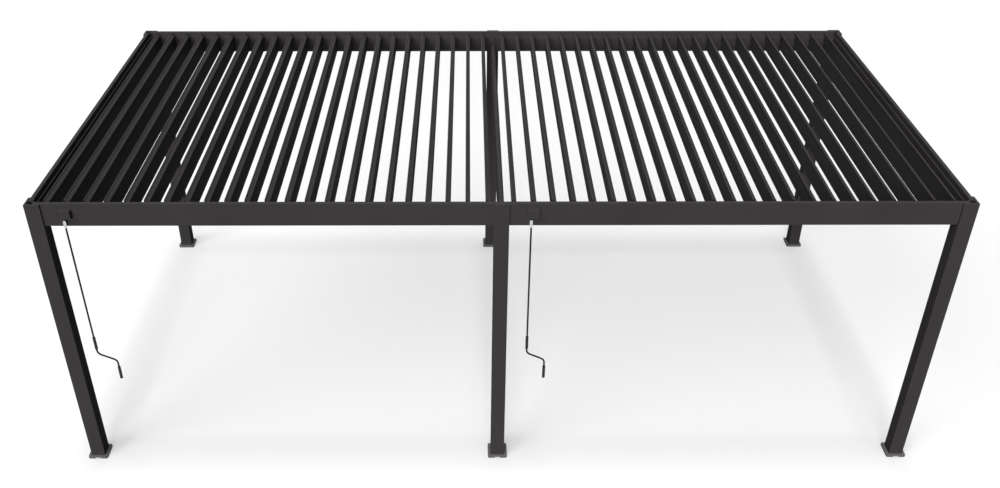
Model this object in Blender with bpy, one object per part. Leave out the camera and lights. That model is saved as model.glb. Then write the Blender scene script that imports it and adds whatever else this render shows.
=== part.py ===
"""Two-bay louvred pergola: six posts, a ring of gutter beams and two banks of tilting louvres.

Metres, +Z up. X runs along the long side, Y from front to back, and the origin lies on the
ground in the middle of the footprint. The louvres stand open at rest. Each bank is turned by
a crank under a worm gear housing on the front beam, and a tie bar links its louvres.
"""
import math

import bmesh
import bpy

# Overall sizes, between the outer faces of the posts and up to their tops
LENGTH = 6.0
DEPTH = 3.0
HEIGHT = 2.15

# Posts and feet
POST_SIDE = 0.098
POST_WALL = 0.003
FOOT_MARGIN = 0.021
FOOT_THICKNESS = 0.018
FOOT_CORNER = 0.010
FOOT_CORNER_STEPS = 3
DRAIN_WIDTH = 0.040
DRAIN_DEPTH = 0.014
DRAIN_HEIGHT = 0.010
POCKET_MARGIN = 0.016
POCKET_SIDE = 0.034
POCKET_DEPTH = 0.055
POST_CAP = 0.006

# Gutter beams: t is measured inwards from the outer face, d downwards from the top
BEAM_SETBACK = 0.015
BEAM_WALL = 0.0335
RIM_WIDTH = 0.026
RIM_DEPTH = 0.040
GUTTER_WIDTH = 0.030
GUTTER_HEIGHT = 0.020
SHEET = 0.003
BEAM_SEAT = 0.061
JOINT_GAP = 0.0003

# Louvres
LOUVERS_PER_BAY = 23
BLADE_LAP = 0.015
BLADE_THICKNESS = 0.0232
BLADE_TOP_DROP = 0.003
BLADE_BOTTOM_RISE = 0.015
LIP_THICKNESS = 0.007
LIP_LENGTH = 0.014
LIP_OFFSET = 0.0068
LIP_RISE = 0.0055
SHOULDER_FALL = 0.0131
CHANNEL_HEIGHT = 0.0294
CHANNEL_FALL = 0.0056
BAY_GAP = 0.012
SIDE_GAP = 0.0507
END_GAP = 0.005

# Pivots and drive
PIN_SIDES = 8
PIVOT_RADIUS = 0.006
PIVOT_ENGAGEMENT = 0.011
BORE_SPARE = 0.001
RUNNING_GAP = 0.0004
DRIVE_RADIUS = 0.004
DRIVE_SIDES = 6
DRIVE_ARM = 0.054
DRIVE_REST_ANGLE = math.radians(36.0)
EAR_THICKNESS = 0.004
EAR_RADIUS = 0.007
EAR_ROOT = 0.010
EAR_STEPS = 3
TIE_THICKNESS = 0.005
TIE_HEIGHT = 0.030
TIE_RISE = 0.018
TIE_END = 0.008
TIE_INSET = 0.077
TIE_PIN_SPARE = 0.002
DRIVEN_LOUVER = 2

# Middle beam
MIDDLE_WIDTH = 0.026
MIDDLE_GUTTER = 0.0105
SWEEP_GAP = 0.005

# Worm gear housings and cranks: each crank's axis is measured from its driven pivot
HOUSING_WIDTH = 0.063
HOUSING_HEIGHT = 0.057
HOUSING_DEPTH = 0.035
HOUSING_DROP = 0.036
HOUSING_OFFSET = 0.006
HOUSING_CORNER = 0.006
HOUSING_CORNER_STEPS = 2
LEFT_CRANK_SHIFT = -0.012
RIGHT_CRANK_SHIFT = -0.022
CRANK_STANDOFF = 0.020
SHAFT_RADIUS = 0.005
SHAFT_ENGAGEMENT = 0.016
EYE_DROP = 0.014
EYE_HEIGHT = 0.060
EYE_WIDTH = 0.022
EYE_BAR = 0.006
EYE_THICKNESS = 0.008
EYE_OUTER_STEPS = 4
EYE_INNER_STEPS = 3
ROD_RADIUS = 0.006
GRIP_RADIUS = 0.010
GRIP_LENGTH = 0.104
UPPER_GRIP_DROP = 1.033
ARM_DROP = 1.175
ARM_OFFSET = 0.124
ARM_FALL = 0.059
LOWER_GRIP_DROP = 1.288
BEND_RADIUS = 0.040
BEND_STEPS = 4
OVERLAP = 0.001

# Everything below follows from the sizes above
PITCH = (LENGTH / 2 - BLADE_LAP - BAY_GAP - SIDE_GAP) / LOUVERS_PER_BAY
BLADE_HEIGHT = PITCH + BLADE_LAP
BEAM_HEIGHT = BLADE_TOP_DROP + BLADE_HEIGHT + BLADE_BOTTOM_RISE
BEAM_BOTTOM = HEIGHT - BEAM_HEIGHT
PIVOT_Z = HEIGHT - BLADE_TOP_DROP - BLADE_HEIGHT / 2
LOUVER_END = DEPTH / 2 - POST_SIDE - END_GAP
PIN_TIP = DEPTH / 2 - BEAM_SETBACK - BEAM_WALL + PIVOT_ENGAGEMENT
TIE_Y = -DEPTH / 2 + TIE_INSET

# Colours as seen, 0 to 255
COAT = (63, 60, 61)
FOOT_COAT = (84, 83, 82)
STEEL = (80, 80, 80)


def linear(value):
    """Turn a displayed colour value of 0 to 255 into scene light."""
    share = value / 255
    if share <= 0.04045:
        return share / 12.92
    return ((share + 0.055) / 1.055) ** 2.4


def finish(name, colour, roughness, metallic):
    """Make a plain coated finish."""
    material = bpy.data.materials.new(name)
    material.use_nodes = True
    shader = material.node_tree.nodes["Principled BSDF"]
    shader.inputs["Base Color"].default_value = [linear(value) for value in colour] + [1.0]
    shader.inputs["Roughness"].default_value = roughness
    shader.inputs["Metallic"].default_value = metallic
    return material


def mesh_from(shape):
    """Store a bmesh as a mesh with its faces pointing out."""
    bmesh.ops.recalc_face_normals(shape, faces=shape.faces)
    mesh = bpy.data.meshes.new("shape")
    shape.to_mesh(mesh)
    shape.free()
    return mesh


def prism(outline, along, low, high):
    """Extrude a flat outline from low to high along X, Y or Z."""
    shape = bmesh.new()
    place = {
        "X": lambda u, v: (low, u, v),
        "Y": lambda u, v: (u, low, v),
        "Z": lambda u, v: (u, v, low),
    }[along]
    ring = [shape.verts.new(place(u, v)) for u, v in outline]
    face = shape.faces.new(ring)
    grown = bmesh.ops.extrude_face_region(shape, geom=[face])
    moved = [item for item in grown["geom"] if isinstance(item, bmesh.types.BMVert)]
    step = {"X": (high - low, 0, 0), "Y": (0, high - low, 0), "Z": (0, 0, high - low)}[along]
    bmesh.ops.translate(shape, verts=moved, vec=step)
    return mesh_from(shape)


def box(x_span, y_span, z_span):
    """A box from three spans, each in either order."""
    x_low, x_high = sorted(x_span)
    y_low, y_high = sorted(y_span)
    outline = [(x_low, y_low), (x_high, y_low), (x_high, y_high), (x_low, y_high)]
    return prism(outline, "Z", *sorted(z_span))


def polygon(centre, radius, sides=PIN_SIDES):
    """A regular polygon with a flat side at the bottom."""
    points = []
    for index in range(sides):
        angle = 2 * math.pi * (index + 0.5) / sides - math.pi / 2
        points.append((centre[0] + radius * math.cos(angle), centre[1] + radius * math.sin(angle)))
    return points


def rounded_rectangle(centre, width, height, radius, steps):
    """A rectangle with round corners, counter-clockwise."""
    points = []
    corners = [(1, 1, 0.0), (-1, 1, 0.5), (-1, -1, 1.0), (1, -1, 1.5)]
    for side, up, start in corners:
        middle = (centre[0] + side * (width / 2 - radius), centre[1] + up * (height / 2 - radius))
        for step in range(steps + 1):
            angle = math.pi * (start + 0.5 * step / steps)
            points.append((middle[0] + radius * math.cos(angle), middle[1] + radius * math.sin(angle)))
    return points


def bore_radius(pin_radius, sides=PIN_SIDES):
    """Corner radius of a bore whose flats clear the pin's corners."""
    return (pin_radius + RUNNING_GAP) / math.cos(math.pi / sides)


def combined(base, tools, operation):
    """Join tools to base, or cut them out of it, one after another."""
    for tool in tools:
        body = bpy.data.objects.new("body", base)
        other = bpy.data.objects.new("other", tool)
        for item in (body, other):
            bpy.context.scene.collection.objects.link(item)
        modifier = body.modifiers.new("combine", "BOOLEAN")
        modifier.operation = operation
        modifier.solver = "EXACT"
        modifier.object = other
        depsgraph = bpy.context.evaluated_depsgraph_get()
        base = bpy.data.meshes.new_from_object(body.evaluated_get(depsgraph))
        for item in (body, other):
            bpy.data.objects.remove(item)
    return base


def joined(meshes):
    """Put meshes that don't touch into one, as one tool for many like cuts."""
    shape = bmesh.new()
    for mesh in meshes:
        shape.from_mesh(mesh)
    return mesh_from(shape)


def add(name, mesh, material, location=(0, 0, 0)):
    """Add a named object at its reference point."""
    mesh.name = name
    mesh.materials.clear()
    mesh.materials.append(material)
    item = bpy.data.objects.new(name, mesh)
    item.location = location
    bpy.context.scene.collection.objects.link(item)
    return item


def louver_positions(bay):
    """Pivot places along X, left to right, in the left (-1) or right (+1) bay."""
    nearest = BLADE_HEIGHT / 2 + BAY_GAP
    distances = [nearest + index * PITCH for index in range(LOUVERS_PER_BAY)]
    return sorted(bay * distance for distance in distances)


def foot(centre, out_y):
    """A foot cover with round corners and a drain notch under its outer edge."""
    side = POST_SIDE + 2 * FOOT_MARGIN
    outline = rounded_rectangle(centre, side, side, FOOT_CORNER, FOOT_CORNER_STEPS)
    cover = prism(outline, "Z", 0.0, FOOT_THICKNESS)
    edge = centre[1] + out_y * side / 2
    notch = box(
        (centre[0] - DRAIN_WIDTH / 2, centre[0] + DRAIN_WIDTH / 2),
        (edge - out_y * DRAIN_DEPTH, edge + out_y * DRAIN_DEPTH),
        (-DRAIN_HEIGHT, DRAIN_HEIGHT),
    )
    return combined(cover, [notch], "DIFFERENCE")


def tube(centre, out_y, top):
    """A square post tube on its foot, closed below and open above."""
    half = POST_SIDE / 2
    spans = [(centre[0] - half, centre[0] + half), (centre[1] - half, centre[1] + half)]
    outer = box(spans[0], spans[1], (FOOT_THICKNESS / 2, top))
    return combined(foot(centre, out_y), [outer], "UNION")


def corner_post(side_x, side_y):
    """An end post: its outer walls run to the top, and the beams sit in its cut-out."""
    def across(near, far):
        return (side_x * (LENGTH / 2 - near), side_x * (LENGTH / 2 - far))

    def inward(near, far):
        return (side_y * (DEPTH / 2 - near), side_y * (DEPTH / 2 - far))

    centre = (side_x * (LENGTH - POST_SIDE) / 2, side_y * (DEPTH - POST_SIDE) / 2)
    skin = BEAM_SETBACK - JOINT_GAP
    beyond = POST_SIDE + FOOT_MARGIN
    gutter_reach = BEAM_SETBACK + BEAM_WALL + GUTTER_WIDTH + JOINT_GAP
    floor = BEAM_BOTTOM - JOINT_GAP
    above = HEIGHT + FOOT_MARGIN
    inner = (POST_WALL, POST_SIDE - POST_WALL)
    pocket = (POCKET_MARGIN, POCKET_MARGIN + POCKET_SIDE)
    cuts = [
        box(across(BEAM_SEAT, beyond), inward(skin, beyond), (floor, above)),
        box(across(skin, beyond), inward(gutter_reach, beyond), (floor, above)),
        box(across(*inner), inward(*inner), (FOOT_THICKNESS, floor - POST_CAP)),
        box(
            across(gutter_reach, inner[1]),
            inward(gutter_reach, inner[1]),
            (floor - POST_CAP - OVERLAP, above),
        ),
        box(across(*pocket), inward(*pocket), (HEIGHT - POCKET_DEPTH, above)),
    ]
    return combined(tube(centre, side_y, HEIGHT), cuts, "DIFFERENCE")


def middle_post(side_y):
    """A middle post: its outer skin and a narrow tongue rise between the beams."""
    def inward(near, far):
        return (side_y * (DEPTH / 2 - near), side_y * (DEPTH / 2 - far))

    skin = BEAM_SETBACK - JOINT_GAP
    wall_end = BEAM_SETBACK + BEAM_WALL
    beyond = POST_SIDE + FOOT_MARGIN
    floor = BEAM_BOTTOM - JOINT_GAP
    above = HEIGHT + FOOT_MARGIN
    tongue = MIDDLE_WIDTH / 2
    inner = (POST_WALL, POST_SIDE - POST_WALL)
    half_inner = POST_SIDE / 2 - POST_WALL
    cuts = [
        box((tongue, beyond), inward(skin, beyond), (floor, above)),
        box((-tongue, -beyond), inward(skin, beyond), (floor, above)),
        box((-beyond, beyond), inward(wall_end, beyond), (HEIGHT - RIM_DEPTH, above)),
        box((-half_inner, half_inner), inward(*inner), (FOOT_THICKNESS, floor - POST_CAP)),
    ]
    gutter_reach = wall_end + GUTTER_WIDTH + JOINT_GAP
    for side in (-1, 1):
        drain = (side * (tongue + POST_WALL), side * half_inner)
        cuts.append(box(drain, inward(gutter_reach, inner[1]), (floor - POST_CAP - OVERLAP, above)))
    if side_y > 0:
        cuts.append(box((-beyond, beyond), inward(skin, gutter_reach), (floor, above)))
    centre = (0.0, side_y * (DEPTH - POST_SIDE) / 2)
    return combined(tube(centre, side_y, HEIGHT), cuts, "DIFFERENCE")


def middle_top():
    """Height of the middle beam's top, just under the sweep of the nearest louvres."""
    reach = math.hypot(BLADE_HEIGHT / 2, BLADE_THICKNESS / 2) + SWEEP_GAP
    beside = BLADE_HEIGHT / 2 + BAY_GAP - MIDDLE_WIDTH / 2
    return PIVOT_Z - math.sqrt(reach ** 2 - beside ** 2)


def middle_beam():
    """The double gutter between the middle posts, buried slightly in both."""
    half = MIDDLE_WIDTH / 2
    wide = half + MIDDLE_GUTTER
    lip = BEAM_BOTTOM + GUTTER_HEIGHT
    floor = BEAM_BOTTOM + SHEET
    right = [(wide, BEAM_BOTTOM), (wide, lip), (wide - SHEET, lip), (wide - SHEET, floor)]
    right += [(half, floor), (half, middle_top())]
    left = [(-x, z) for x, z in reversed(right)]
    reach = DEPTH / 2 - POST_SIDE + OVERLAP
    return prism(right + left, "Y", -reach, reach)


def beam_outline():
    """The gutter beam's section as (t, height) points."""
    lip = BEAM_WALL + GUTTER_WIDTH
    return [
        (0.0, BEAM_BOTTOM),
        (lip, BEAM_BOTTOM),
        (lip, BEAM_BOTTOM + GUTTER_HEIGHT),
        (lip - SHEET, BEAM_BOTTOM + GUTTER_HEIGHT),
        (lip - SHEET, BEAM_BOTTOM + SHEET),
        (BEAM_WALL, BEAM_BOTTOM + SHEET),
        (BEAM_WALL, HEIGHT - RIM_DEPTH),
        (RIM_WIDTH, HEIGHT - RIM_DEPTH),
        (RIM_WIDTH, HEIGHT),
        (0.0, HEIGHT),
    ]


def long_beam(side_y, start, end, bays):
    """A front or back beam with a bearing bore for each louvre of the given bays."""
    face = DEPTH / 2 - BEAM_SETBACK
    outline = [(side_y * (face - t), z) for t, z in beam_outline()]
    beam = prism(outline, "X", start, end)
    radius = bore_radius(PIVOT_RADIUS)
    mouth = side_y * (face - BEAM_WALL - OVERLAP)
    bottom = side_y * (PIN_TIP + BORE_SPARE)
    span = sorted((mouth, bottom))
    bores = []
    for bay in bays:
        for x in louver_positions(bay):
            bores.append(prism(polygon((x, PIVOT_Z), radius), "Y", *span))
    return combined(beam, [joined(bores)], "DIFFERENCE")


def driven_x(bay):
    """Place of the louvre whose pivot the worm gear turns."""
    return louver_positions(bay)[DRIVEN_LOUVER - 1]


def crank_x(bay):
    """Place of a bay's crank."""
    shift = LEFT_CRANK_SHIFT if bay < 0 else RIGHT_CRANK_SHIFT
    return driven_x(bay) + shift


def front_beam(bay):
    """A front beam of one bay with the worm gear housing on its outer face."""
    inner_end = bay * (MIDDLE_WIDTH / 2 + JOINT_GAP)
    outer_end = bay * (LENGTH / 2 - BEAM_SEAT - JOINT_GAP)
    beam = long_beam(-1, *sorted((inner_end, outer_end)), [bay])
    face = -DEPTH / 2 + BEAM_SETBACK
    bottom = HEIGHT - HOUSING_DROP - HOUSING_HEIGHT
    centre = (crank_x(bay) + HOUSING_OFFSET, bottom + HOUSING_HEIGHT / 2)
    size = (HOUSING_WIDTH, HOUSING_HEIGHT)
    outline = rounded_rectangle(centre, *size, HOUSING_CORNER, HOUSING_CORNER_STEPS)
    housing = prism(outline, "Y", face - HOUSING_DEPTH, face + OVERLAP)
    beam = combined(beam, [housing], "UNION")
    seat = polygon((crank_x(bay), face - CRANK_STANDOFF), bore_radius(SHAFT_RADIUS))
    bore = prism(seat, "Z", bottom - OVERLAP, bottom + SHAFT_ENGAGEMENT + BORE_SPARE)
    return combined(beam, [bore], "DIFFERENCE")


def side_beam(side_x):
    """A plain gutter beam between two end posts."""
    face = LENGTH / 2 - BEAM_SETBACK
    outline = [(side_x * (face - t), z) for t, z in beam_outline()]
    end = DEPTH / 2 - BEAM_SETBACK - BEAM_WALL - GUTTER_WIDTH - 2 * JOINT_GAP
    return prism(outline, "Y", -end, end)


def drive_pin():
    """Place of a louvre's drive pin from its pivot, as (x, z)."""
    return (-DRIVE_ARM * math.sin(DRIVE_REST_ANGLE), DRIVE_ARM * math.cos(DRIVE_REST_ANGLE))


def blade_outline():
    """The blade's section at rest: a rain lip on its upper left edge and a drain channel below."""
    left = -BLADE_THICKNESS / 2
    right = BLADE_THICKNESS / 2
    top = BLADE_HEIGHT / 2
    lip_outside = left - LIP_OFFSET
    lip_inside = lip_outside + LIP_THICKNESS
    channel = -top + CHANNEL_HEIGHT
    return [
        (lip_outside, top),
        (lip_outside, top - LIP_LENGTH),
        (left, top - LIP_LENGTH - LIP_OFFSET),
        (left, channel),
        (right - SHEET, channel),
        (right - SHEET, -top + SHEET),
        (left, -top + CHANNEL_FALL + SHEET),
        (left, -top + CHANNEL_FALL),
        (right, -top),
        (right, top - LIP_RISE - SHOULDER_FALL),
        (lip_inside, top - LIP_RISE),
        (lip_inside, top),
    ]


def ear_outline():
    """The drive lever's plate, from the pivot out and round the drive pin."""
    pin = drive_pin()
    points = []
    for step in range(EAR_STEPS + 1):
        angle = DRIVE_REST_ANGLE + math.pi * step / EAR_STEPS
        points.append((pin[0] + EAR_RADIUS * math.cos(angle), pin[1] + EAR_RADIUS * math.sin(angle)))
    across = (EAR_ROOT * math.cos(DRIVE_REST_ANGLE), EAR_ROOT * math.sin(DRIVE_REST_ANGLE))
    return points + [(-across[0], -across[1]), across]


def louver():
    """One louvre about its pivot: blade, two pivot pins, drive lever and drive pin."""
    ear_face = -LOUVER_END - EAR_THICKNESS
    blade = prism(blade_outline(), "Y", -LOUVER_END, LOUVER_END)
    ear = prism(ear_outline(), "Y", ear_face, -LOUVER_END + OVERLAP)
    drive_tip = TIE_Y - TIE_THICKNESS / 2 - TIE_PIN_SPARE
    drive = prism(polygon(drive_pin(), DRIVE_RADIUS, DRIVE_SIDES), "Y", drive_tip, ear_face + OVERLAP)
    front = prism(polygon((0, 0), PIVOT_RADIUS), "Y", -PIN_TIP, -LOUVER_END + OVERLAP)
    back = prism(polygon((0, 0), PIVOT_RADIUS), "Y", LOUVER_END - OVERLAP, PIN_TIP)
    return combined(blade, [ear, drive, front, back], "UNION")


def tie_bar():
    """The flat bar that links a bay's louvres, about the driven louvre's drive pin."""
    first = -(DRIVEN_LOUVER - 1) * PITCH
    last = first + (LOUVERS_PER_BAY - 1) * PITCH
    outline = [
        (first - TIE_END, TIE_RISE - TIE_HEIGHT),
        (last + TIE_END, TIE_RISE - TIE_HEIGHT),
        (last + TIE_END, TIE_RISE),
        (first - TIE_END, TIE_RISE),
    ]
    bar = prism(outline, "Y", -TIE_THICKNESS / 2, TIE_THICKNESS / 2)
    radius = bore_radius(DRIVE_RADIUS, DRIVE_SIDES)
    holes = []
    for index in range(LOUVERS_PER_BAY):
        ring = polygon((first + index * PITCH, 0.0), radius, DRIVE_SIDES)
        holes.append(prism(ring, "Y", -TIE_THICKNESS, TIE_THICKNESS))
    return combined(bar, [joined(holes)], "DIFFERENCE")


def rounded_path(corners, radius, steps):
    """Replace each inner corner of a flat path by an arc, as (x, z, heading) stations."""
    stations = []
    for before, corner, after in zip(corners, corners[1:], corners[2:]):
        entry = math.atan2(corner[1] - before[1], corner[0] - before[0])
        leaving = math.atan2(after[1] - corner[1], after[0] - corner[0])
        turn = leaving - entry
        trim = radius * math.tan(abs(turn) / 2)
        start = (corner[0] - trim * math.cos(entry), corner[1] - trim * math.sin(entry))
        side = math.copysign(radius, turn)
        centre = (start[0] - side * math.sin(entry), start[1] + side * math.cos(entry))
        for step in range(steps + 1):
            heading = entry + turn * step / steps
            point = (centre[0] + side * math.sin(heading), centre[1] - side * math.cos(heading))
            stations.append((point[0], point[1], heading))
    return stations


def swept(stations, sides=PIN_SIDES):
    """A round bar through (x, z, heading, radius) stations in the XZ plane."""
    shape = bmesh.new()
    rings = []
    for x, z, heading, radius in stations:
        ring = []
        for index in range(sides):
            angle = 2 * math.pi * (index + 0.5) / sides
            across = radius * math.cos(angle)
            side = (x - across * math.sin(heading), z + across * math.cos(heading))
            ring.append(shape.verts.new((side[0], radius * math.sin(angle), side[1])))
        rings.append(ring)
    for one, two in zip(rings, rings[1:]):
        for index in range(sides):
            following = (index + 1) % sides
            shape.faces.new((one[index], one[following], two[following], two[index]))
    shape.faces.new(rings[0])
    shape.faces.new(reversed(rings[-1]))
    return mesh_from(shape)


def grip(x, top):
    """Stations of a hand grip on a bar that runs straight down."""
    down = -math.pi / 2
    low = top - GRIP_LENGTH
    return [
        (x, top, down, ROD_RADIUS),
        (x, top - OVERLAP, down, GRIP_RADIUS),
        (x, low + OVERLAP, down, GRIP_RADIUS),
        (x, low, down, ROD_RADIUS),
    ]


def crank():
    """The crank about its axis, from the worm shaft's seat: eye, rod, arm and two grips."""
    seat = HEIGHT - HOUSING_DROP - HOUSING_HEIGHT
    eye_top = -EYE_DROP
    eye_low = eye_top - EYE_HEIGHT
    rod_top = eye_low + EYE_BAR / 2

    def below(drop):
        return HEIGHT - drop - seat

    corners = [
        (0.0, below(UPPER_GRIP_DROP)),
        (0.0, below(ARM_DROP)),
        (ARM_OFFSET, below(ARM_DROP + ARM_FALL)),
        (ARM_OFFSET, below(LOWER_GRIP_DROP)),
    ]
    bends = [station + (ROD_RADIUS,) for station in rounded_path(corners, BEND_RADIUS, BEND_STEPS)]
    stations = [(0.0, rod_top, -math.pi / 2, ROD_RADIUS)]
    stations += grip(0.0, below(UPPER_GRIP_DROP)) + bends + grip(ARM_OFFSET, below(LOWER_GRIP_DROP))
    rod = swept(stations)
    middle = (0.0, (eye_top + eye_low) / 2)
    round_end = EYE_WIDTH / 2 - OVERLAP
    outer = rounded_rectangle(middle, EYE_WIDTH, EYE_HEIGHT, round_end, EYE_OUTER_STEPS)
    slot_width = EYE_WIDTH - 2 * EYE_BAR
    slot_height = EYE_HEIGHT - 2 * EYE_BAR
    slot_end = slot_width / 2 - OVERLAP
    inner = rounded_rectangle(middle, slot_width, slot_height, slot_end, EYE_INNER_STEPS)
    eye = prism(outer, "Y", -EYE_THICKNESS / 2, EYE_THICKNESS / 2)
    slot = prism(inner, "Y", -EYE_THICKNESS, EYE_THICKNESS)
    eye = combined(eye, [slot], "DIFFERENCE")
    shaft = prism(polygon((0, 0), SHAFT_RADIUS), "Z", eye_top - EYE_BAR / 2, SHAFT_ENGAGEMENT)
    return combined(eye, [shaft, rod], "UNION")


def build():
    """Add every piece of the pergola."""
    coat = finish("powder_coat", COAT, 0.5, 0.0)
    foot_coat = finish("post_coat", FOOT_COAT, 0.5, 0.0)
    steel = finish("crank_steel", STEEL, 0.45, 0.3)
    sides = {"left": -1, "right": 1}
    ends = {"front": -1, "back": 1}
    for end, side_y in ends.items():
        for side, side_x in sides.items():
            add(f"post_{end}_{side}", corner_post(side_x, side_y), foot_coat)
    portal = combined(middle_post(-1), [middle_beam(), middle_post(1)], "UNION")
    add("middle_frame", portal, foot_coat)
    back_end = LENGTH / 2 - BEAM_SEAT - JOINT_GAP
    add("back_beam", long_beam(1, -back_end, back_end, [-1, 1]), coat)
    blade = louver()
    bar = tie_bar()
    handle = crank()
    seat = HEIGHT - HOUSING_DROP - HOUSING_HEIGHT
    crank_y = -DEPTH / 2 + BEAM_SETBACK - CRANK_STANDOFF
    pin = drive_pin()
    for side, bay in sides.items():
        add(f"front_beam_{side}", front_beam(bay), coat)
        add(f"side_beam_{side}", side_beam(bay), coat)
        for index, x in enumerate(louver_positions(bay), start=1):
            add(f"louver_{side}_{index:02d}", blade, coat, (x, 0, PIVOT_Z))
        driven = driven_x(bay)
        add(f"tie_bar_{side}", bar, coat, (driven + pin[0], TIE_Y, PIVOT_Z + pin[1]))
        add(f"crank_{side}", handle, steel, (crank_x(bay), crank_y, seat))


for old in list(bpy.data.objects):
    bpy.data.objects.remove(old)
build()
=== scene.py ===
import math

import bmesh
import bpy
from mathutils import Euler, Matrix, Vector


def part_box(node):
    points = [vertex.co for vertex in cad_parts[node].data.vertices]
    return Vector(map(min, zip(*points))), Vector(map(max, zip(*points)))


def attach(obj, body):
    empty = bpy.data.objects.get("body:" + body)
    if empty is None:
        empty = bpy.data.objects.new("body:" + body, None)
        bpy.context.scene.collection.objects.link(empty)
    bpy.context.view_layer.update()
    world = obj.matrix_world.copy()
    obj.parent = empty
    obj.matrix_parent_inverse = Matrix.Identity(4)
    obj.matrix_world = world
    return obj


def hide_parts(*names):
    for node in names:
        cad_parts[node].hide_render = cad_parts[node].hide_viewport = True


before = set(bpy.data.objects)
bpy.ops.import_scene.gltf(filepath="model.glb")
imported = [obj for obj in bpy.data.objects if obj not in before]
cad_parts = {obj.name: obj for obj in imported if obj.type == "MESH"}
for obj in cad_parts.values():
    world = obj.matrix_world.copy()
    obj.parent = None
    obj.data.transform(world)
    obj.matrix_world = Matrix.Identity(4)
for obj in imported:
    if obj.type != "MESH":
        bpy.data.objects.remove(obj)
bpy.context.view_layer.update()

# Photo camera: a fit to the object's corners in the photo's 1000 by 488 frame
IMAGE = (1000, 488)
FOCAL_PX = 1039.4
CENTRE_PX = (471.6, 271.95)
EYE = (-0.205, -7.140, 5.430)
PITCH_DOWN = math.radians(33.877)
YAW = math.radians(0.151)

# Sizes shared with the CAD, in metres
HALF_LENGTH = 3.0
HALF_DEPTH = 1.5
HEIGHT = 2.15
POST_SIDE = 0.098
FOOT_SIDE = 0.140
FOOT_HEIGHT = 0.018
DRAIN_WIDTH = 0.040
DRAIN_DEPTH = 0.014
DRAIN_HEIGHT = 0.010
BEAM_FACE = 1.485
BEAM_WALL = 0.0335
RIM_WIDTH = 0.026
RIM_DEPTH = 0.040
GUTTER_REACH = 0.0635
GUTTER_HEIGHT = 0.020
SHEET = 0.003
LOUVRES = 23
PITCH = 2.9223 / LOUVRES
BLADE_LAP = 0.015
BLADE_HEIGHT = PITCH + BLADE_LAP
BAY_GAP = 0.012
BLADE_HALF = 0.0116
LIP_LENGTH = 0.014
TOP_GAP = 0.003
PIVOT_Z = HEIGHT - TOP_GAP - BLADE_HEIGHT / 2
PIN_RADIUS = 0.006
DRIVE_RADIUS = 0.004
DRIVE_ARM = 0.054
DRIVE_REST = math.radians(36)
DRIVE_PIN = (-DRIVE_ARM * math.sin(DRIVE_REST), DRIVE_ARM * math.cos(DRIVE_REST))
LEVER = 0.004
LEVER_TIP = 0.007
TIE_HALF = 0.0025
TIE_DROP = 0.012
TIE_RISE = 0.018
TIE_PAST = 0.008
HOUSING_DEPTH = 0.035
SHAFT_RADIUS = 0.005
CRANK_Y = -1.505
SEAT_Z = 2.057
CRANK_SHIFT = {"left": -0.012, "right": -0.022}
CRANK_ARM = 0.124
ARM_DROP = 1.175
ARM_FALL = 0.059
BEND_RADIUS = 0.040
ROD_RADIUS = 0.006
GRIP_RADIUS = 0.010
GRIP_LENGTH = 0.104
UPPER_GRIP_DROP = 1.033
LOWER_GRIP_DROP = 1.288
BEAM_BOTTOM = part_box("side_beam_left")[0][2]

# Sizes that differ from the CAD's: longer louvres with a round cove, so the tie bars lie further
# out and the front and back gutters' lips are lower, wider housings and larger post pockets
BLADE_END = 1.431
TIE_Y = -1.440
LOW_GUTTER_HEIGHT = 0.011
COVE_DEPTH = 0.006
COVE_HEIGHT = 0.020
HOUSING = (0.074, 0.057)
HOUSING_OFFSET = 0.0125
# Each pocket's two edges along X, its two along Y, both from the post's outer corner, and depth
POCKETS = (
    ((0.0157, 0.052), (0.0157, 0.058), 0.054),
    ((0.043, 0.064), (0.0495, 0.084), 0.118),
)

# Small sizes of the looks
EASE = 0.0008
ARC_STEPS = 8
TUBE_START = 0.005
CAP = 0.003
UPPER_LIP = 0.0074
LOWER_LIP = 0.0010
LIP_THICKNESS = 0.0076
HUB_RADIUS = 0.0092
COLLAR_RADIUS = 0.0062
LEVER_ROOT = 0.0105
PIN_END = 0.0006
END_GAP = 0.0006
HOLE_GAP = 0.0003
BUSH_GAP = 0.0004
BUSH_RADIUS = 0.013
BUSH_DEPTH = 0.005
SEAM = 0.0015
ROD_END_DROP = 1.300
RIBS = 10
RIB_PITCH = 0.0086
GROOVE_RADIUS = 0.0094

# Screws, each as the head's radius and height, and their places
BEAM_SCREW = (0.0055, 0.003)
BEAM_SCREW_INSET = 0.060
BEAM_SCREW_RISES = (0.036, 0.060)
CAP_SCREW = (0.0036, 0.0018)
CAP_SCREW_HEIGHTS = (-0.026, 0.040)
COVER_SCREW = (0.0026, 0.0002)
COVER_SCREW_ACROSS = 0.031
COVER_SCREW_UP = 0.022


def camera():
    """The photo's camera."""
    data = bpy.data.cameras.new("photo_camera")
    data.sensor_width = 36.0
    data.lens = FOCAL_PX / IMAGE[0] * data.sensor_width
    data.shift_x = (IMAGE[0] / 2 - CENTRE_PX[0]) / IMAGE[0]
    data.shift_y = (CENTRE_PX[1] - IMAGE[1] / 2) / IMAGE[0]
    item = bpy.data.objects.new("photo_camera", data)
    item.location = EYE
    item.rotation_euler = Euler((math.pi / 2 - PITCH_DOWN, 0.0, -YAW))
    bpy.context.scene.collection.objects.link(item)
    bpy.context.scene.camera = item


def sun(name, towards, strength, spread):
    """A soft distant lamp. Strength 1 renders a white face that looks into it as white."""
    data = bpy.data.lights.new(name, "SUN")
    data.energy = strength * math.pi
    data.angle = math.radians(spread)
    item = bpy.data.objects.new(name, data)
    item.rotation_euler = Vector(towards).to_track_quat("Z", "Y").to_euler()
    bpy.context.scene.collection.objects.link(item)


# Materials

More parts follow.
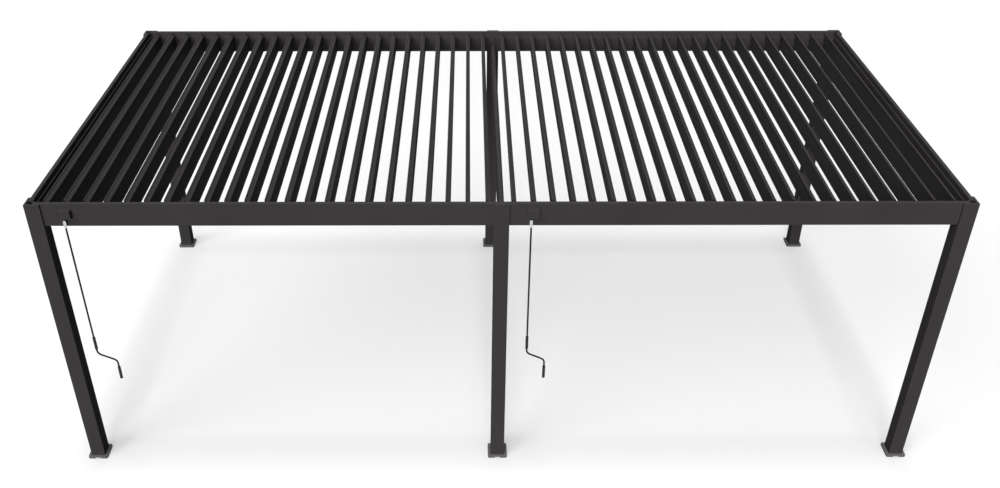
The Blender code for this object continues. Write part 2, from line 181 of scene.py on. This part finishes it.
def grained(name, dark, light, roughness, grain, bump, specular, metallic=0.0):
    """A finish with a fine grain in its relief and gloss, and a slow drift between two colours."""
    material = bpy.data.materials.new(name)
    material.use_nodes = True
    nodes = material.node_tree.nodes
    link = material.node_tree.links.new
    shader = nodes["Principled BSDF"]
    shader.inputs["Metallic"].default_value = metallic
    shader.inputs["Specular IOR Level"].default_value = specular
    place = nodes.new("ShaderNodeTexCoord")
    whose = nodes.new("ShaderNodeObjectInfo")
    moved = nodes.new("ShaderNodeVectorMath")
    link(place.outputs["Object"], moved.inputs[0])
    link(whose.outputs["Location"], moved.inputs[1])
    fine = nodes.new("ShaderNodeTexNoise")
    fine.inputs["Scale"].default_value = grain
    fine.inputs["Detail"].default_value = 2.0
    slow = nodes.new("ShaderNodeTexNoise")
    slow.inputs["Scale"].default_value = 2.3
    slow.inputs["Detail"].default_value = 4.0
    for texture in (fine, slow):
        link(moved.outputs[0], texture.inputs["Vector"])
    both = nodes.new("ShaderNodeMath")
    both.operation = "MULTIPLY_ADD"
    both.inputs[1].default_value = 0.45
    link(fine.outputs[0], both.inputs[0])
    half = nodes.new("ShaderNodeMath")
    half.operation = "MULTIPLY"
    half.inputs[1].default_value = 0.55
    link(slow.outputs[0], half.inputs[0])
    link(half.outputs[0], both.inputs[2])
    tint = nodes.new("ShaderNodeValToRGB")
    tint.color_ramp.elements[0].position = 0.38
    tint.color_ramp.elements[0].color = (*dark, 1.0)
    tint.color_ramp.elements[1].position = 0.62
    tint.color_ramp.elements[1].color = (*light, 1.0)
    link(both.outputs[0], tint.inputs[0])
    link(tint.outputs[0], shader.inputs["Base Color"])
    gloss = nodes.new("ShaderNodeMapRange")
    gloss.inputs["From Min"].default_value = 0.3
    gloss.inputs["From Max"].default_value = 0.7
    gloss.inputs["To Min"].default_value = roughness - 0.07
    gloss.inputs["To Max"].default_value = roughness + 0.07
    link(fine.outputs[0], gloss.inputs["Value"])
    link(gloss.outputs[0], shader.inputs["Roughness"])
    relief = nodes.new("ShaderNodeBump")
    relief.inputs["Strength"].default_value = bump
    relief.inputs["Distance"].default_value = 0.0002
    link(fine.outputs[0], relief.inputs["Height"])
    link(relief.outputs[0], shader.inputs["Normal"])
    return material


def seen_directly(nodes, link):
    """A socket that is 1 for what the camera sees, also in gloss and through glass, else 0."""
    path = nodes.new("ShaderNodeLightPath")
    seen = nodes.new("ShaderNodeMath")
    seen.operation = "MAXIMUM"
    link(path.outputs["Is Camera Ray"], seen.inputs[0])
    link(path.outputs["Is Glossy Ray"], seen.inputs[1])
    clear = nodes.new("ShaderNodeMath")
    clear.operation = "MAXIMUM"
    link(seen.outputs[0], clear.inputs[0])
    link(path.outputs["Is Transmission Ray"], clear.inputs[1])
    return clear.outputs[0]


def ground():
    """The floor: white to the eye and in reflections, and dull to the light that it passes on."""
    material = bpy.data.materials.new("floor_white")
    material.use_nodes = True
    nodes = material.node_tree.nodes
    link = material.node_tree.links.new
    nodes.remove(nodes["Principled BSDF"])
    lit = nodes.new("ShaderNodeBsdfDiffuse")
    lit.inputs["Color"].default_value = (0.60, 0.60, 0.60, 1.0)
    glow = nodes.new("ShaderNodeEmission")
    glow.inputs["Strength"].default_value = 0.32
    white = nodes.new("ShaderNodeAddShader")
    link(lit.outputs[0], white.inputs[0])
    link(glow.outputs[0], white.inputs[1])
    dull = nodes.new("ShaderNodeBsdfDiffuse")
    dull.inputs["Color"].default_value = (0.10, 0.10, 0.10, 1.0)
    mix = nodes.new("ShaderNodeMixShader")
    link(seen_directly(nodes, link), mix.inputs[0])
    link(dull.outputs[0], mix.inputs[1])
    link(white.outputs[0], mix.inputs[2])
    link(mix.outputs[0], nodes["Material Output"].inputs["Surface"])
    return material


COAT = grained(
    "powder_coat", (0.045, 0.0410, 0.0420), (0.053, 0.0485, 0.0495), 0.72, 1500.0, 0.25, 0.01
)
FOOT_COAT = grained(
    "foot_coat", (0.132, 0.129, 0.125), (0.152, 0.148, 0.144), 0.72, 900.0, 0.2, 0.02
)
ROD_COAT = grained(
    "rod_coat", (0.0180, 0.0175, 0.0180), (0.0225, 0.0220, 0.0225), 0.5, 1800.0, 0.1, 0.03
)
NYLON = grained(
    "black_nylon", (0.0045, 0.0045, 0.0045), (0.0075, 0.0075, 0.0075), 0.5, 700.0, 0.3, 0.3
)
PALE = grained("pale_zinc", (0.66, 0.66, 0.65), (0.76, 0.76, 0.75), 0.4, 1100.0, 0.15, 0.5)
STEEL = grained("stainless", (0.42, 0.42, 0.41), (0.52, 0.52, 0.51), 0.36, 1300.0, 0.1, 0.5, 0.9)


# Shapes

def polygons_of(shape, before, material):
    """Give the faces that came since a count the material's place."""
    shape.faces.ensure_lookup_table()
    for index in range(before, len(shape.faces)):
        shape.faces[index].material_index = material


def eased(outline, radius, steps=3):
    """Replace the corners of a closed outline by arcs that fit beside it."""
    points = []
    count = len(outline)
    for index in range(count):
        corner = Vector(outline[index])
        back = Vector(outline[index - 1]) - corner
        ahead = Vector(outline[(index + 1) % count]) - corner
        angle = back.angle(ahead)
        reach = min(radius / math.tan(angle / 2), 0.45 * back.length, 0.45 * ahead.length)
        start = corner + back.normalized() * reach
        end = corner + ahead.normalized() * reach
        for step in range(steps + 1):
            share = step / steps
            first = start.lerp(corner, share)
            second = corner.lerp(end, share)
            points.append(tuple(first.lerp(second, share)))
    return points


def joined(shape, one, two):
    """Add the faces between two rings of as many points."""
    for index in range(len(one)):
        following = (index + 1) % len(one)
        shape.faces.new((one[index], one[following], two[following], two[index]))


def extruded(shape, outline, along, low, high, material=0):
    """Add a flat outline's extrusion from low to high along X, Y or Z."""
    before = len(shape.faces)
    place = {
        "X": lambda u, v, w: (w, u, v),
        "Y": lambda u, v, w: (u, w, v),
        "Z": lambda u, v, w: (u, v, w),
    }[along]
    near = [shape.verts.new(place(u, v, low)) for u, v in outline]
    far = [shape.verts.new(place(u, v, high)) for u, v in outline]
    joined(shape, near, far)
    shape.faces.new(near)
    shape.faces.new(far)
    polygons_of(shape, before, material)


def turned(shape, profile, matrix, sides, material=0):
    """Add a lathe shape of (radius, height) points about the matrix's Z axis."""
    before = len(shape.faces)
    rings = []
    for radius, height in profile:
        ring = []
        for index in range(sides):
            angle = 2 * math.pi * index / sides
            place = Vector((radius * math.cos(angle), radius * math.sin(angle), height))
            ring.append(shape.verts.new(matrix @ place))
        rings.append(ring)
    for one, two in zip(rings, rings[1:]):
        joined(shape, one, two)
    shape.faces.new(rings[0])
    shape.faces.new(rings[-1])
    polygons_of(shape, before, material)


def pointing(place, towards):
    """A matrix that puts the Z axis along a direction at a place."""
    return Matrix.Translation(place) @ Vector(towards).to_track_quat("Z", "X").to_matrix().to_4x4()


def screw(shape, place, towards, radius, height):
    """Add a low button head with a round recess."""
    profile = [
        (0.92 * radius, -0.3 * height),
        (radius, 0.1 * height),
        (0.93 * radius, 0.55 * height),
        (0.66 * radius, 0.92 * height),
        (0.46 * radius, height),
        (0.42 * radius, 0.95 * height),
        (0.38 * radius, 0.35 * height),
    ]
    turned(shape, profile, pointing(place, towards), 16)


def softened(shape, width, segments):
    """Round the sharp outward edges of a shape."""
    shape.normal_update()
    sharp = []
    for edge in shape.edges:
        if len(edge.link_faces) == 2 and edge.is_convex and edge.calc_face_angle() > math.radians(28):
            sharp.append(edge)
    bmesh.ops.bevel(
        shape, geom=sharp, offset=width, segments=segments,
        profile=0.5, affect="EDGES", clamp_overlap=True,
    )


def mesh_of(shape, name, materials):
    """Store a shape as a smooth mesh with its faces pointing out."""
    bmesh.ops.recalc_face_normals(shape, faces=shape.faces)
    for face in shape.faces:
        face.smooth = True
    for edge in shape.edges:
        if len(edge.link_faces) == 2 and edge.calc_face_angle() > math.radians(40):
            edge.smooth = False
    mesh = bpy.data.meshes.new(name)
    shape.to_mesh(mesh)
    shape.free()
    for material in materials:
        mesh.materials.append(material)
    return mesh


def piece(name, mesh, body, slot, *nodes, place=(0, 0, 0)):
    """Add a piece that rides on a body and stands for CAD nodes."""
    item = bpy.data.objects.new(name, mesh)
    item.location = place
    bpy.context.scene.collection.objects.link(item)
    even = item.modifiers.new("even_normals", "WEIGHTED_NORMAL")
    even.keep_sharp = True
    bpy.context.view_layer.update()
    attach(item, body)
    if nodes:
        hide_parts(*nodes)
    return item


def cut(shape, tools):
    """Cut other shapes out of one, and return what is left."""
    base = bpy.data.meshes.new("base")
    shape.to_mesh(base)
    shape.free()
    tool = bpy.data.meshes.new("tool")
    tools.to_mesh(tool)
    tools.free()
    items = [bpy.data.objects.new("base", base), bpy.data.objects.new("tool", tool)]
    for item in items:
        bpy.context.scene.collection.objects.link(item)
    modifier = items[0].modifiers.new("cut", "BOOLEAN")
    modifier.operation = "DIFFERENCE"
    modifier.solver = "EXACT"
    modifier.object = items[1]
    depsgraph = bpy.context.evaluated_depsgraph_get()
    done = bpy.data.meshes.new_from_object(items[0].evaluated_get(depsgraph))
    for item in items:
        bpy.data.objects.remove(item)
    left = bmesh.new()
    left.from_mesh(done)
    return left


def whole(node):
    """A CAD node's mesh with each flat face in one piece."""
    shape = bmesh.new()
    shape.from_mesh(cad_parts[node].data)
    bmesh.ops.remove_doubles(shape, verts=shape.verts, dist=0.00001)
    flat = math.radians(0.5)
    bmesh.ops.dissolve_limit(shape, angle_limit=flat, verts=shape.verts, edges=shape.edges)
    return shape


def square(x, y, width, depth):
    """A rectangle about a centre."""
    return [
        (x - width / 2, y - depth / 2),
        (x + width / 2, y - depth / 2),
        (x + width / 2, y + depth / 2),
        (x - width / 2, y + depth / 2),
    ]


# Pieces

def foot_cover(name, x, y):
    """The cover round a post's foot, with a drain notch in its outer lower edge."""
    shape = bmesh.new()
    extruded(shape, eased(square(x, y, FOOT_SIDE, FOOT_SIDE), 0.014, 5), "Z", 0.0, FOOT_HEIGHT)
    tools = bmesh.new()
    hole = POST_SIDE + 0.0012
    extruded(tools, square(x, y, hole, hole), "Z", 0.004, 2 * FOOT_HEIGHT)
    out = math.copysign(1.0, y)
    notch = square(x, y + out * FOOT_SIDE / 2, DRAIN_WIDTH, 2 * DRAIN_DEPTH)
    extruded(tools, notch, "Z", -DRAIN_HEIGHT, DRAIN_HEIGHT)
    shape = cut(shape, tools)
    bmesh.ops.recalc_face_normals(shape, faces=shape.faces)
    softened(shape, 0.0016, 3)
    piece(name, mesh_of(shape, name, [FOOT_COAT]), "frame", "post_coat")


def opened(shape, x_side, y_side, across, inward, depth):
    """Cut an upright pocket into a corner post's top, measured from the outer corner."""
    tools = bmesh.new()
    x = x_side * (HALF_LENGTH - sum(across) / 2)
    y = y_side * (HALF_DEPTH - sum(inward) / 2)
    outline = square(x, y, across[1] - across[0], inward[1] - inward[0])
    extruded(tools, outline, "Z", HEIGHT - depth, HEIGHT + 0.01)
    bmesh.ops.recalc_face_normals(tools, faces=tools.faces)
    return cut(shape, tools)


def post_tube(node, x_side=0, y_side=0):
    """A node's posts from just above the ground, without their foot covers."""
    shape = whole(node)
    if x_side:
        for across, inward, depth in POCKETS:
            shape = opened(shape, x_side, y_side, across, inward, depth)
    everything = list(shape.verts) + list(shape.edges) + list(shape.faces)
    level = FOOT_HEIGHT + 0.0005
    bmesh.ops.bisect_plane(
        shape, geom=everything, plane_co=(0, 0, level), plane_no=(0, 0, 1), clear_inner=True
    )
    for vertex in shape.verts:
        if vertex.co.z < level + 0.0001:
            vertex.co.z = TUBE_START
    softened(shape, 0.0014, 3)
    piece(node + "_tube", mesh_of(shape, node, [COAT]), "frame", "post_coat", node)


def beam_outline(face, side, lip):
    """The gutter beam's section in the plane across it, with the height of its gutter's lip."""
    rows = [
        (0.0, BEAM_BOTTOM),
        (GUTTER_REACH, BEAM_BOTTOM),
        (GUTTER_REACH, BEAM_BOTTOM + lip),
        (GUTTER_REACH - SHEET, BEAM_BOTTOM + lip),
        (GUTTER_REACH - SHEET, BEAM_BOTTOM + SHEET),
        (BEAM_WALL, BEAM_BOTTOM + SHEET),
        (BEAM_WALL, HEIGHT - RIM_DEPTH),
        (RIM_WIDTH, HEIGHT - RIM_DEPTH),
        (RIM_WIDTH, HEIGHT),
        (0.0, HEIGHT),
    ]
    return [(side * (face - inward), z) for inward, z in rows]


def beam(node, along, side):
    """A gutter beam with its end screws. Along X its lip stays under the louvres' sweep."""
    low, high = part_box(node)
    axis = "XYZ".index(along)
    face = BEAM_FACE if along == "X" else high[0] if side > 0 else -low[0]
    shape = bmesh.new()
    lip = LOW_GUTTER_HEIGHT if along == "X" else GUTTER_HEIGHT
    outline = eased(beam_outline(face, side, lip), EASE)
    extruded(shape, outline, along, low[axis], high[axis])
    inside = side * (face - BEAM_WALL)
    for end in (low[axis] + BEAM_SCREW_INSET, high[axis] - BEAM_SCREW_INSET):
        for z in (BEAM_BOTTOM + rise for rise in BEAM_SCREW_RISES):
            place = (end, inside, z) if along == "X" else (inside, end, z)
            inwards = (0, -side, 0) if along == "X" else (-side, 0, 0)
            screw(shape, place, inwards, *BEAM_SCREW)
    piece(node + "_profile", mesh_of(shape, node, [COAT]), "frame", "beam_coat", node)


def bushes(name, side, pivots):
    """The flanged bearing bushes on a beam's inner wall."""
    shape = bmesh.new()
    wall = side * (BEAM_FACE - BEAM_WALL)
    bore = PIN_RADIUS + BUSH_GAP
    profile = [
        (BUSH_RADIUS, -0.0005),
        (BUSH_RADIUS, 0.0014),
        (BUSH_RADIUS - 0.0008, 0.002),
        (0.0095, 0.002),
        (0.0088, BUSH_DEPTH - 0.0006),
        (0.0082, BUSH_DEPTH),
        (bore + 0.0003, BUSH_DEPTH),
        (bore, BUSH_DEPTH - 0.0006),
        (bore, 0.0005),
    ]
    for x in pivots:
        turned(shape, profile, pointing((x, wall, PIVOT_Z), (0, -side, 0)), 24)
    piece(name, mesh_of(shape, name, [NYLON]), "frame", "beam_coat")


def blade_outline():
    """The louvre's section about its pivot."""
    top = BLADE_HEIGHT / 2
    out = -BLADE_HALF - UPPER_LIP
    lip = -BLADE_HALF - LOWER_LIP
    cove = []
    for step in range(ARC_STEPS + 1):
        angle = math.pi / 2 * step / ARC_STEPS
        across = lip + COVE_DEPTH * math.cos(angle)
        cove.append((across, -top + 0.0086 + COVE_HEIGHT * (1 - math.sin(angle))))
    return [
        (out, top),
        (out, top - LIP_LENGTH),
        (-BLADE_HALF, top - 0.0208),
        *cove,
        (lip, -top + 0.0056),
        (BLADE_HALF, -top),
        (BLADE_HALF, top - 0.0186),
        (out + LIP_THICKNESS, top - 0.0055),
        (out + LIP_THICKNESS, top),
    ]


def lever_outline():
    """The drive lever round the pivot and the drive pin."""
    heading = math.atan2(DRIVE_PIN[1], DRIVE_PIN[0])
    points = []
    quarter = math.pi / 2
    rounds = (
        (DRIVE_PIN, LEVER_TIP, heading - quarter),
        ((0, 0), LEVER_ROOT, heading + quarter),
    )
    for centre, radius, start in rounds:
        for step in range(ARC_STEPS + 1):
            angle = start + math.pi * step / ARC_STEPS
            across = centre[0] + radius * math.cos(angle)
            points.append((across, centre[1] + radius * math.sin(angle)))
    return points


def louver_mesh():
    """One louvre about its pivot: blade, end caps with screws, pivot pins, lever and drive pin."""
    shape = bmesh.new()
    outline = eased(blade_outline(), EASE)
    extruded(shape, outline, "Y", CAP - BLADE_END, BLADE_END - CAP)
    tip = BEAM_FACE - BEAM_WALL - END_GAP
    pin = [
        (PIN_RADIUS, 0.0),
        (PIN_RADIUS, tip - BLADE_END - PIN_END),
        (PIN_RADIUS - PIN_END, tip - BLADE_END),
    ]
    hub = [(HUB_RADIUS, -0.0004), (HUB_RADIUS, 0.0052), (HUB_RADIUS - 0.0006, 0.0058)]
    for end in (-1, 1):
        near, far = sorted((end * (BLADE_END - CAP), end * BLADE_END))
        extruded(shape, eased(blade_outline(), 0.0012), "Y", near, far)
        for z in CAP_SCREW_HEIGHTS:
            screw(shape, (0.003, end * BLADE_END, z), (0, end, 0), *CAP_SCREW)
        cap_centre = pointing((0, end * BLADE_END, 0), (0, end, 0))
        turned(shape, pin, cap_centre, 20, 1)
        turned(shape, hub, cap_centre, 20, 1)
    extruded(shape, lever_outline(), "Y", -BLADE_END - LEVER, -BLADE_END + 0.0004, 2)
    reach = -BLADE_END - TIE_Y - LEVER
    drive = [
        (DRIVE_RADIUS, -0.001),
        (DRIVE_RADIUS, reach + TIE_HALF + 0.0016),
        (DRIVE_RADIUS - 0.0008, reach + TIE_HALF + 0.002),
    ]
    start = (DRIVE_PIN[0], -BLADE_END - LEVER, DRIVE_PIN[1])
    turned(shape, drive, pointing(start, (0, -1, 0)), 16, 2)
    collar = [(COLLAR_RADIUS, 0.0), (COLLAR_RADIUS, reach - TIE_HALF - END_GAP)]
    turned(shape, collar, pointing(start, (0, -1, 0)), 16, 1)
    return mesh_of(shape, "louver", [COAT, NYLON, STEEL])


def tie_bar(side, first, place):
    """The flat bar that links a bay's louvres, with round holes for the drive pins."""
    shape = bmesh.new()
    last = first + (LOUVRES - 1) * PITCH
    start, stop = first - TIE_PAST, last + TIE_PAST
    rows = [(start, -TIE_DROP), (stop, -TIE_DROP), (stop, TIE_RISE), (start, TIE_RISE)]
    extruded(shape, eased(rows, 0.004), "Y", -TIE_HALF, TIE_HALF)
    tools = bmesh.new()
    hole = DRIVE_RADIUS + HOLE_GAP
    for index in range(LOUVRES):
        matrix = pointing((first + index * PITCH, -0.01, 0), (0, 1, 0))
        turned(tools, [(hole, 0.0), (hole, 0.02)], matrix, 20)
    shape = cut(shape, tools)
    name = f"tie_bar_{side}"
    softened(shape, 0.0004, 1)
    piece(name + "_flat", mesh_of(shape, name, [COAT]), name, "tie_steel", name, place=place)


def housing(side, crank_x):
    """The worm gear housing: body, front cover with screws, and the shaft's collar."""
    shape = bmesh.new()
    middle = (crank_x + HOUSING_OFFSET, SEAT_Z + HOUSING[1] / 2)
    front = -BEAM_FACE - HOUSING_DEPTH
    body = eased(square(*middle, *HOUSING), 0.005, 4)
    gasket = eased(square(*middle, HOUSING[0] - SEAM, HOUSING[1] - SEAM), 0.0045, 4)
    extruded(shape, body, "Y", front + 0.003, -BEAM_FACE + 0.0005)
    softened(shape, 0.0015, 2)
    extruded(shape, gasket, "Y", front + 0.0022, front + 0.0032, 1)
    cover = bmesh.new()
    extruded(cover, body, "Y", front, front + 0.0024)
    softened(cover, 0.001, 2)
    cover_mesh = bpy.data.meshes.new("cover")
    cover.to_mesh(cover_mesh)
    cover.free()
    shape.from_mesh(cover_mesh)
    for across in (-COVER_SCREW_ACROSS, COVER_SCREW_ACROSS):
        for up in (-COVER_SCREW_UP, COVER_SCREW_UP):
            place = (middle[0] + across, front, middle[1] + up)
            screw(shape, place, (0, -1, 0), *COVER_SCREW)
    collar = [(0.0095, -0.001), (0.0095, 0.003), (0.0085, 0.004), (0.0056, 0.004), (0.0054, 0.001)]
    turned(shape, collar, pointing((crank_x, CRANK_Y, SEAT_Z), (0, 0, -1)), 24, 1)
    name = f"gear_housing_{side}"
    piece(name, mesh_of(shape, name, [COAT, NYLON]), "frame", "beam_coat")


def bent(corners, radius, steps):
    """Round a flat path's inner corners, as (x, z, heading) stations."""
    stations = []
    for before, corner, after in zip(corners, corners[1:], corners[2:]):
        entry = math.atan2(corner[1] - before[1], corner[0] - before[0])
        leaving = math.atan2(after[1] - corner[1], after[0] - corner[0])
        turn = leaving - entry
        trim = radius * math.tan(abs(turn) / 2)
        start = (corner[0] - trim * math.cos(entry), corner[1] - trim * math.sin(entry))
        side = math.copysign(radius, turn)
        centre = (start[0] - side * math.sin(entry), start[1] + side * math.cos(entry))
        for step in range(steps + 1):
            heading = entry + turn * step / steps
            x = centre[0] + side * math.sin(heading)
            stations.append((x, centre[1] - side * math.cos(heading), heading))
    return stations


def section(shape, x, z, heading, radius, sides):
    """The points of a round bar's section, square to a heading in the XZ plane."""
    points = []
    for index in range(sides):
        angle = 2 * math.pi * index / sides
        across = radius * math.cos(angle)
        right = x - across * math.sin(heading)
        up = z + across * math.cos(heading)
        points.append(shape.verts.new((right, radius * math.sin(angle), up)))
    return points


def swept(shape, stations, sides=20):
    """Add a round bar through (x, z, heading, radius) stations in the XZ plane."""
    rings = [section(shape, *station, sides) for station in stations]
    for one, two in zip(rings, rings[1:]):
        joined(shape, one, two)
    shape.faces.new(rings[0])
    shape.faces.new(rings[-1])


def looped(shape, loop, radius, sides=12):
    """Add a closed round bar along a flat loop in the XZ plane."""
    rings = []
    count = len(loop)
    for index, (x, z) in enumerate(loop):
        before = loop[index - 1]
        after = loop[(index + 1) % count]
        heading = math.atan2(after[1] - before[1], after[0] - before[0])
        rings.append(section(shape, x, z, heading, radius, sides))
    for index in range(count):
        joined(shape, rings[index], rings[(index + 1) % count])


def crank(side, crank_x):
    """A hanging crank about its axis: eye with hook, rod with bends, and two grips."""
    name = f"crank_{side}"
    place = (crank_x, CRANK_Y, SEAT_Z)
    down = -math.pi / 2

    def below(drop):
        return HEIGHT - drop - SEAT_Z

    rod = bmesh.new()
    corners = [
        (0.0, below(UPPER_GRIP_DROP)),
        (0.0, below(ARM_DROP)),
        (CRANK_ARM, below(ARM_DROP + ARM_FALL)),
        (CRANK_ARM, below(LOWER_GRIP_DROP)),
    ]
    bends = [station + (ROD_RADIUS,) for station in bent(corners, BEND_RADIUS, 14)]
    top = [(0.0, -0.071, down, 0.0050), (0.0, -0.073, down, ROD_RADIUS)]
    swept(rod, top + bends + [(CRANK_ARM, below(ROD_END_DROP), down, ROD_RADIUS)])
    rod = mesh_of(rod, name + "_rod", [ROD_COAT])
    piece(name + "_rod", rod, name, "crank_steel", name, place=place)

    grips = bmesh.new()
    for x, drop, closed in ((0.0, UPPER_GRIP_DROP, False), (CRANK_ARM, LOWER_GRIP_DROP, True)):
        top = below(drop)
        rows = [(0.0, 0.0066), (0.0012, 0.0092), (0.0035, GRIP_RADIUS)]
        for rib in range(RIBS):
            start = 0.010 + RIB_PITCH * rib
            rows += [(start, GRIP_RADIUS), (start + 0.0008, GROOVE_RADIUS)]
            rows += [(start + 0.0020, GROOVE_RADIUS), (start + 0.0028, GRIP_RADIUS)]
        rows += [(GRIP_LENGTH - 0.0035, GRIP_RADIUS), (GRIP_LENGTH - 0.0012, 0.0092)]
        rows.append((GRIP_LENGTH, 0.0070 if closed else 0.0064))
        swept(grips, [(x, top - fall, down, radius) for fall, radius in rows], 24)
    grips = mesh_of(grips, name + "_grips", [NYLON])
    piece(name + "_grips", grips, name, "crank_steel", name, place=place)

    eye = bmesh.new()
    shaft = [(SHAFT_RADIUS, -0.0165), (SHAFT_RADIUS, 0.010)]
    turned(eye, shaft, Matrix.Identity(4), 20, 1)
    loop = []
    for step in range(48):
        angle = 2 * math.pi * step / 48
        lift = math.copysign(0.0185, math.sin(angle)) if abs(math.sin(angle)) > 0.01 else 0.0
        loop.append((0.0068 * math.cos(angle), -0.0445 + 0.0072 * math.sin(angle) + lift))
    looped(eye, loop, 0.0031)
    hook = [
        (0.0, -0.076, -down, 0.0040),
        (0.0, -0.046, -down, 0.0040),
        (0.0012, -0.030, -down, 0.0040),
        (0.0, -0.022, -down, 0.0026),
    ]
    swept(eye, hook, 16)
    eye = mesh_of(eye, name + "_eye", [PALE, NYLON])
    piece(name + "_eye", eye, name, "crank_steel", name, place=place)


def pergola():
    """Add every piece."""
    for end, side_y in (("front", -1), ("back", 1)):
        y = side_y * (HALF_DEPTH - POST_SIDE / 2)
        for side, side_x in (("left", -1), ("middle", 0), ("right", 1)):
            foot_cover(f"foot_cover_{end}_{side}", side_x * (HALF_LENGTH - POST_SIDE / 2), y)
            if side_x:
                post_tube(f"post_{end}_{side}", side_x, side_y)
    post_tube("middle_frame")
    beam("back_beam", "X", 1)
    blade = louver_mesh()
    nearest = BLADE_HEIGHT / 2 + BAY_GAP
    everywhere = []
    for side, bay in (("left", -1), ("right", 1)):
        beam(f"front_beam_{side}", "X", -1)
        beam(f"side_beam_{side}", "Y", bay)
        pivots = sorted(bay * (nearest + index * PITCH) for index in range(LOUVRES))
        everywhere += pivots
        bushes(f"bushes_front_{side}", -1, pivots)
        for index, x in enumerate(pivots, start=1):
            node = f"louver_{side}_{index:02d}"
            piece(node + "_blade", blade, node, "louver_coat", node, place=(x, 0, PIVOT_Z))
        driven = pivots[1]
        tie_bar(side, pivots[0] - driven, (driven + DRIVE_PIN[0], TIE_Y, PIVOT_Z + DRIVE_PIN[1]))
        housing(side, driven + CRANK_SHIFT[side])
        crank(side, driven + CRANK_SHIFT[side])
    bushes("bushes_back", 1, everywhere)


def studio():
    """The floor, the lamps and the world."""
    shape = bmesh.new()
    bmesh.ops.create_grid(shape, x_segments=1, y_segments=1, size=40.0)
    mesh = bpy.data.meshes.new("floor")
    shape.to_mesh(mesh)
    shape.free()
    mesh.materials.append(ground())
    floor = bpy.data.objects.new("floor", mesh)
    floor.location = (0, 0, -0.0005)
    bpy.context.scene.collection.objects.link(floor)
    sun("top_light", (0.0, 0.0, 1.0), 0.64, 11.0)
    sun("front_light", (-0.12, -0.96, 0.25), 0.72, 24.0)
    sun("left_light", (-0.52, -0.48, 0.72), 0.38, 32.0)
    sun("back_light", (0.0, 0.99, 0.12), 0.35, 12.0)
    world = bpy.data.worlds.new("studio")
    world.use_nodes = True
    nodes = world.node_tree.nodes
    link = world.node_tree.links.new
    strength = nodes.new("ShaderNodeMapRange")
    strength.inputs["To Min"].default_value = 0.05
    strength.inputs["To Max"].default_value = 1.0
    link(seen_directly(nodes, link), strength.inputs["Value"])
    link(strength.outputs[0], nodes["Background"].inputs["Strength"])
    nodes["Background"].inputs["Color"].default_value = (1.0, 1.0, 1.0, 1.0)
    bpy.context.scene.world = world


camera()
pergola()
studio()
bpy.context.scene.view_settings.view_transform = "Standard"
